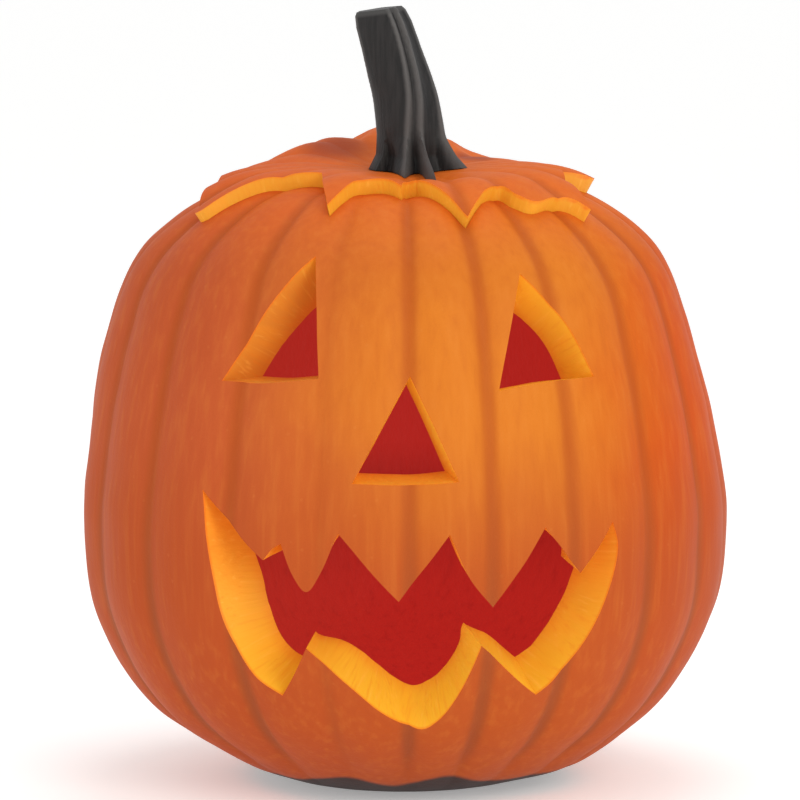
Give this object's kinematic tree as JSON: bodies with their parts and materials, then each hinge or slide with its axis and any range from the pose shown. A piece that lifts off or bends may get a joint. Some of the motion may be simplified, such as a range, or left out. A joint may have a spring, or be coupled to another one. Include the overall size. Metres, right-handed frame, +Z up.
{
  "type": "carved pumpkin lantern",
  "caption": "Hollow carved pumpkin with a cut face, a zigzag-cut lid resting in its rim and a curved woody stem on the lid.",
  "frame": {"origin": "middle of the flat foot that the pumpkin stands on", "axes": "+Z up, the carved face looks towards -Y, +X is on the viewer's right"},
  "size_m": [0.2792, 0.2774, 0.3339],
  "materials": {
    "pumpkin_rind": "waxy ribbed pumpkin skin, with yellow-orange flesh on the cut walls and red-lit pulp inside",
    "pumpkin_lid_rind": "the same waxy skin, with a yellow-orange cut edge",
    "dried_stem": "charcoal-dark ridged dried stem, satin"
  },
  "bodies": {
    "root": {"pumpkin_shell": "pumpkin_rind", "lid": "pumpkin_lid_rind", "stem": "dried_stem"}
  },
  "joints": []
}
